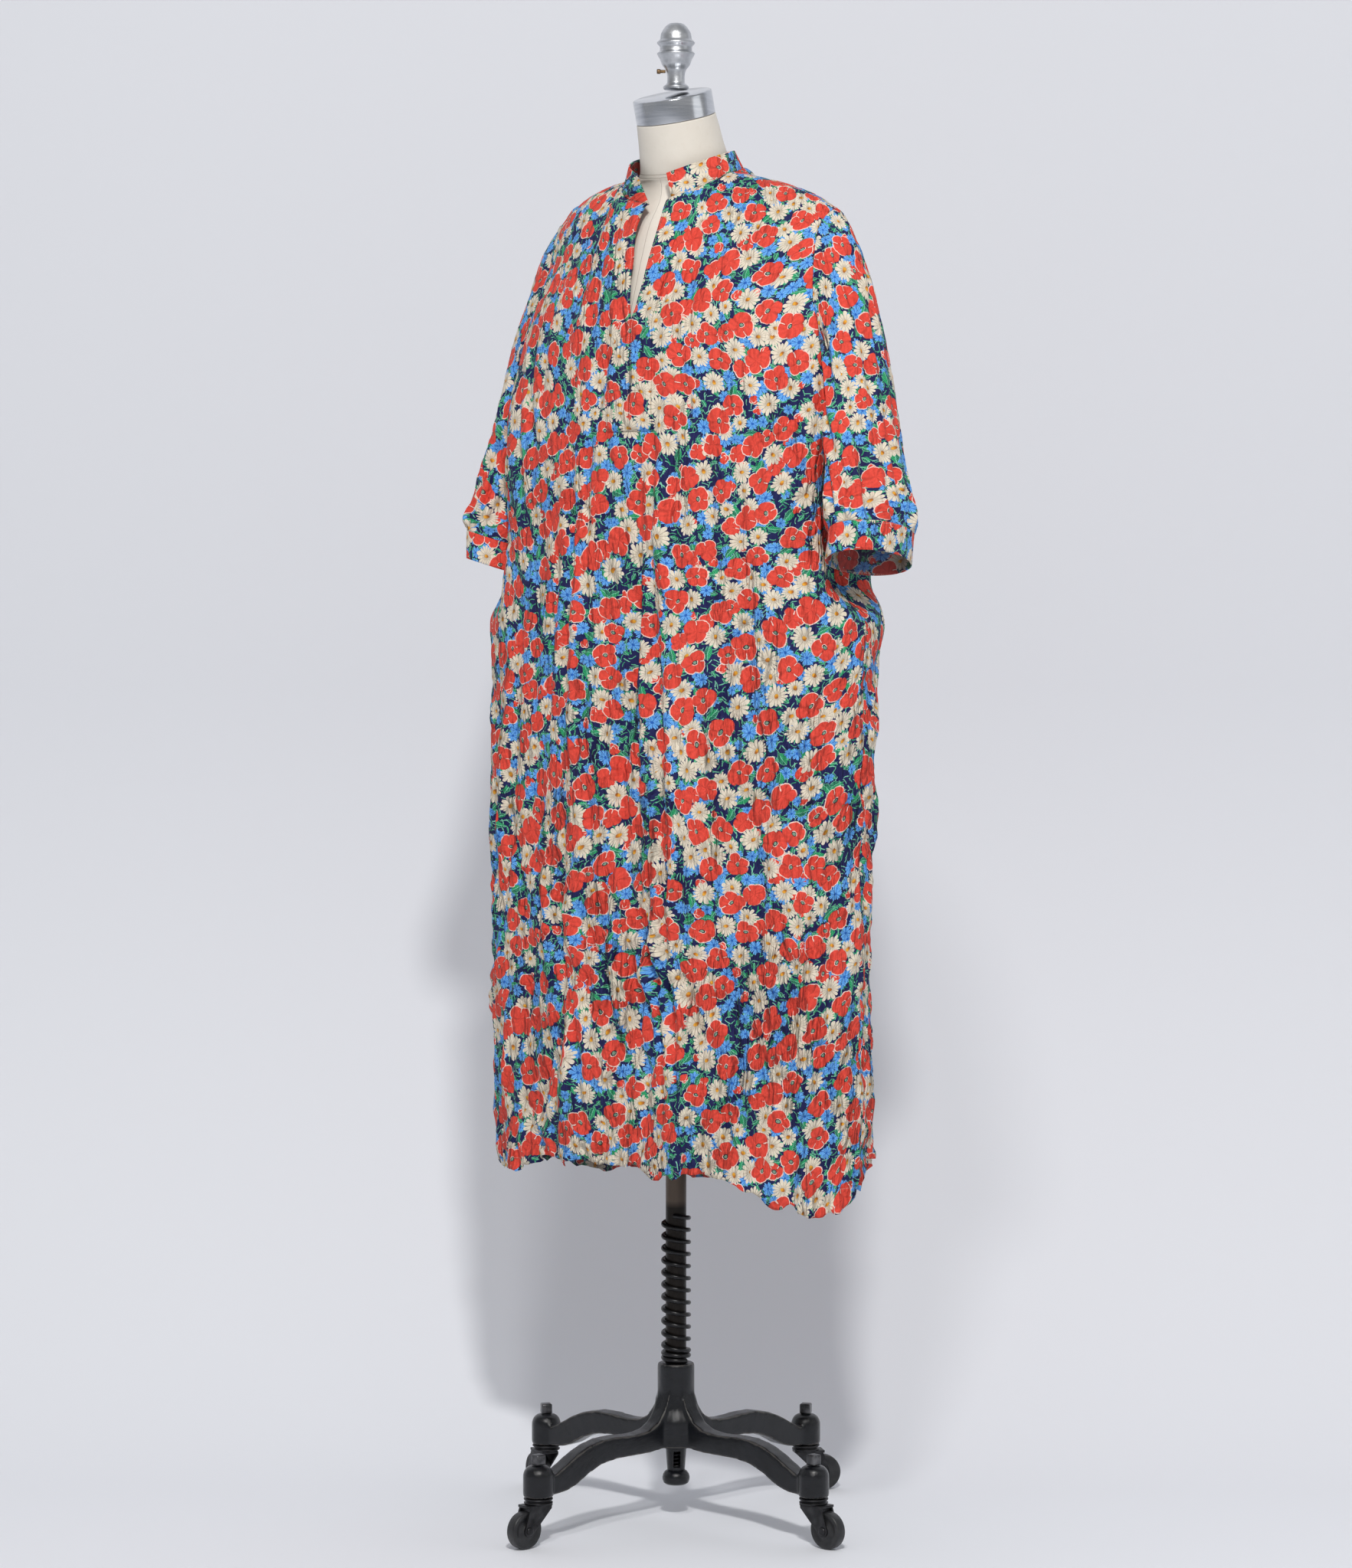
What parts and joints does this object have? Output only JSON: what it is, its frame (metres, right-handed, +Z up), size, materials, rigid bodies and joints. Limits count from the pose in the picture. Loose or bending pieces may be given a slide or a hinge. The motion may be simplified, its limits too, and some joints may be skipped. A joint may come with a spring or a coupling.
{
  "type": "shirt dress on a dress form and wheeled stand",
  "caption": "Printed cotton shirt dress with stand collar and half placket, worn by a canvas dress form on a post with a cast base and swivel casters.",
  "frame": {"origin": "on the floor under the post's axis, at the bottom centre of the bounding box", "axes": "+Z up; the form faces -Y; the wearer's left is +X"},
  "size_m": [0.5895, 0.4933, 1.6647],
  "materials": {
    "printed_cloth": "printed plain-weave cotton, soft matt",
    "canvas": "coarse off-white canvas over a moulded shell",
    "polished_cap": "polished nickel, lightly scratched",
    "cast_silver": "cast, bright and slightly uneven",
    "set_screw": "dull brown brass",
    "post_iron": "dark worn steel",
    "black_enamel": "gloss black enamel, worn",
    "spring_steel": "blackened spring steel",
    "stem_bolt": "dark steel",
    "caster_steel": "dark steel",
    "wheel_rubber": "hard dark rubber"
  },
  "bodies": {
    "base": {"base_casting": "black_enamel", "buffer_spring": "spring_steel", "lower_sleeve": "black_enamel", "lower_spring": "spring_steel", "lower_foot": "black_enamel", "stem_bolt_left": "stem_bolt", "stem_bolt_back": "stem_bolt", "stem_bolt_right": "stem_bolt", "stem_bolt_front": "stem_bolt"},
    "post": {"post": "post_iron"},
    "form": {"form_torso": "canvas", "form_socket": "post_iron", "neck_cap": "polished_cap", "finial": "cast_silver", "finial_screw": "set_screw", "front": "printed_cloth", "back": "printed_cloth", "sleeve_left": "printed_cloth", "sleeve_right": "printed_cloth", "cuff_left": "printed_cloth", "cuff_right": "printed_cloth", "collar": "printed_cloth", "placket_left": "printed_cloth", "placket_right": "printed_cloth"},
    "fork_left": {"caster_race_left": "caster_steel", "caster_fork_left": "caster_steel", "caster_axle_left": "caster_steel"},
    "wheel_left": {"caster_wheel_left": "wheel_rubber"},
    "fork_back": {"caster_race_back": "caster_steel", "caster_fork_back": "caster_steel", "caster_axle_back": "caster_steel"},
    "wheel_back": {"caster_wheel_back": "wheel_rubber"},
    "fork_right": {"caster_race_right": "caster_steel", "caster_fork_right": "caster_steel", "caster_axle_right": "caster_steel"},
    "wheel_right": {"caster_wheel_right": "wheel_rubber"},
    "fork_front": {"caster_race_front": "caster_steel", "caster_fork_front": "caster_steel", "caster_axle_front": "caster_steel"},
    "wheel_front": {"caster_wheel_front": "wheel_rubber"}
  },
  "joints": [
    {"name": "post_height", "type": "slide", "parent": "base", "child": "post", "axis": [0, 0, 1], "range_m": [0, 0.06]},
    {"name": "form_turn", "type": "hinge", "parent": "post", "child": "form", "pos_m": [0, 0, 0.712], "axis": [0, 0, 1], "continuous": true},
    {"name": "swivel_left", "type": "hinge", "parent": "base", "child": "fork_left", "pos_m": [0.20955, -0.02202, 0.048], "axis": [0, 0, 1], "continuous": true},
    {"name": "roll_left", "type": "hinge", "parent": "fork_left", "child": "wheel_left", "pos_m": [0.22952, -0.02307, 0.02], "axis": [0.0523, 0.9986, 0], "continuous": true},
    {"name": "swivel_back", "type": "hinge", "parent": "base", "child": "fork_back", "pos_m": [0.02202, 0.20955, 0.048], "axis": [0, 0, 1], "continuous": true},
    {"name": "roll_back", "type": "hinge", "parent": "fork_back", "child": "wheel_back", "pos_m": [0.03475, 0.22498, 0.02], "axis": [-0.7716, 0.6361, 0], "continuous": true},
    {"name": "swivel_right", "type": "hinge", "parent": "base", "child": "fork_right", "pos_m": [-0.20955, 0.02202, 0.048], "axis": [0, 0, 1], "continuous": true},
    {"name": "roll_right", "type": "hinge", "parent": "fork_right", "child": "wheel_right", "pos_m": [-0.22822, 0.02919, 0.02], "axis": [-0.3584, -0.9336, 0], "continuous": true},
    {"name": "swivel_front", "type": "hinge", "parent": "base", "child": "fork_front", "pos_m": [-0.02202, -0.20955, 0.048], "axis": [0, 0, 1], "continuous": true},
    {"name": "roll_front", "type": "hinge", "parent": "fork_front", "child": "wheel_front", "pos_m": [-0.02515, -0.2293, 0.02], "axis": [0.9877, -0.1564, 0], "continuous": true}
  ]
}
